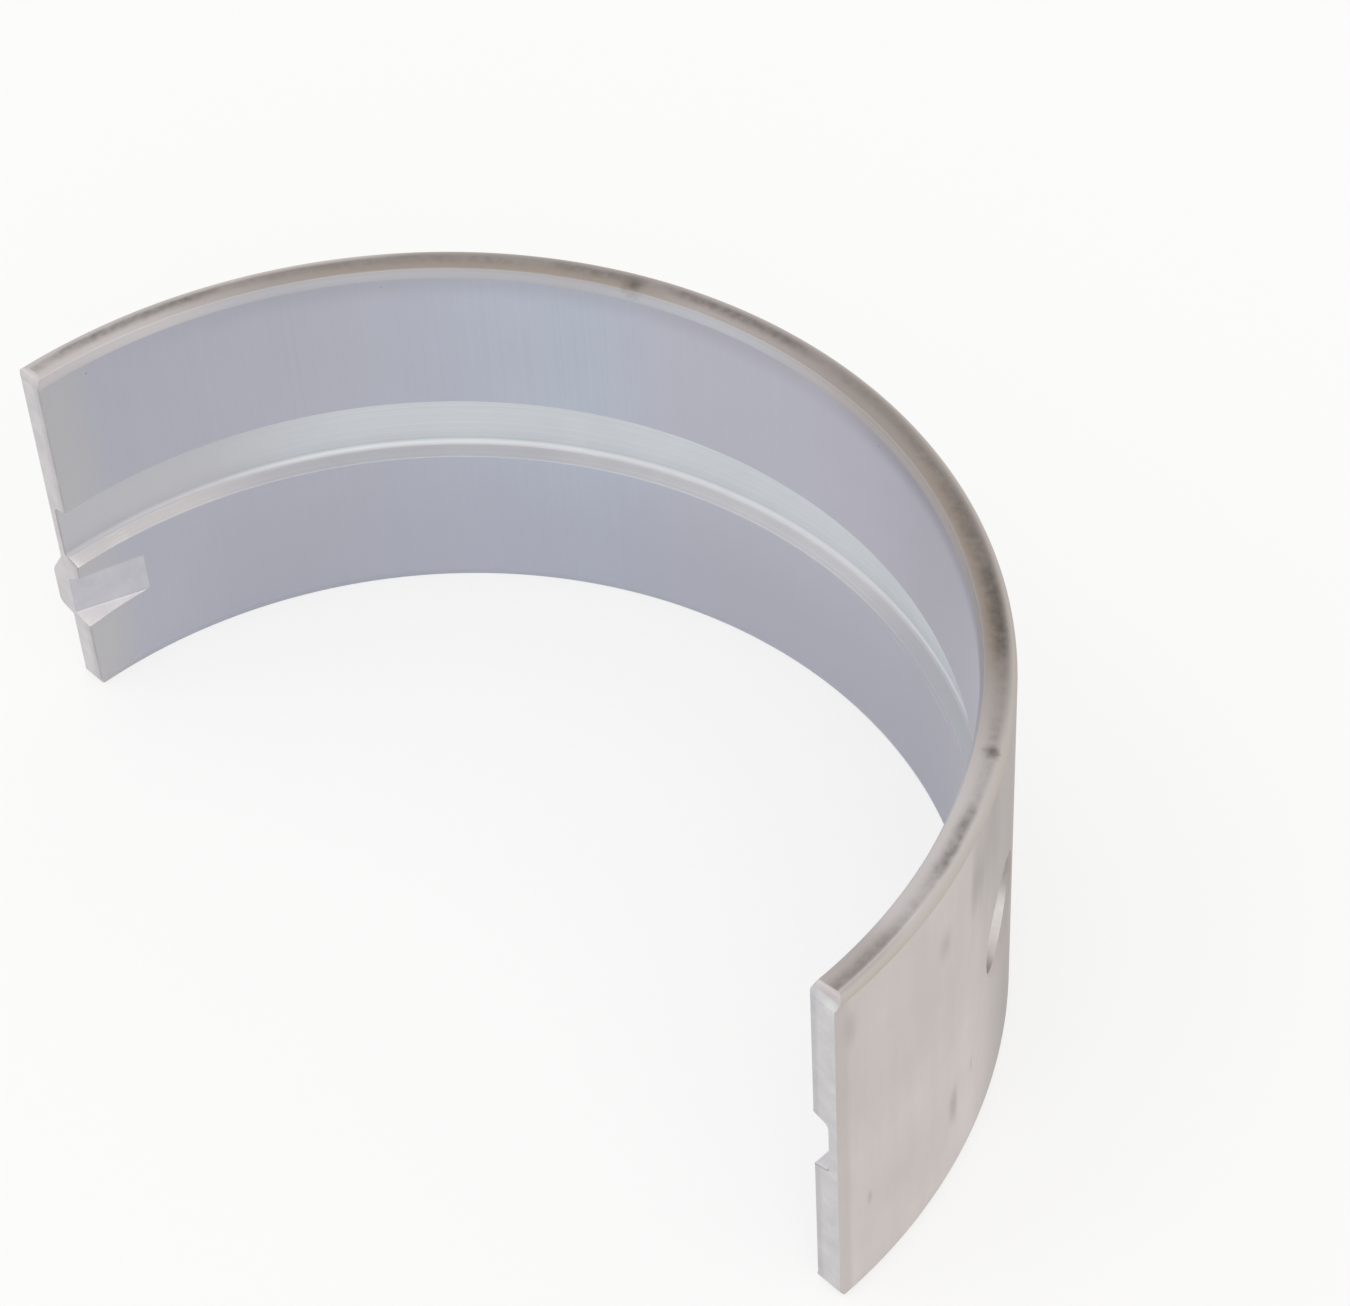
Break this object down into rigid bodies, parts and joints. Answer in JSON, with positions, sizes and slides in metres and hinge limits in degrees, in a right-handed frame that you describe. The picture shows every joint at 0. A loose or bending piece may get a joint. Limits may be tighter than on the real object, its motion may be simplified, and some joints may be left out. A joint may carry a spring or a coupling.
{
  "type": "engine bearing shell",
  "caption": "Half-round plain bearing shell for an engine crankshaft, with a lined inner face, a central oil groove, an oil hole and a locating lug at the parting face.",
  "frame": {"origin": "on the bearing axis, in the plane of the parting faces, at the middle of the width", "axes": "+Z along the bearing axis, upwards as the shell stands on its side rim; +Y from the parting plane towards the crown; the locating lug is at -X and the plain end at +X"},
  "size_m": [0.081, 0.04, 0.031],
  "materials": {
    "bearing_shell": "tin-flashed steel back, matt grey lining on the inner face"
  },
  "bodies": {
    "root": {"bearing_shell": "bearing_shell"}
  },
  "joints": []
}
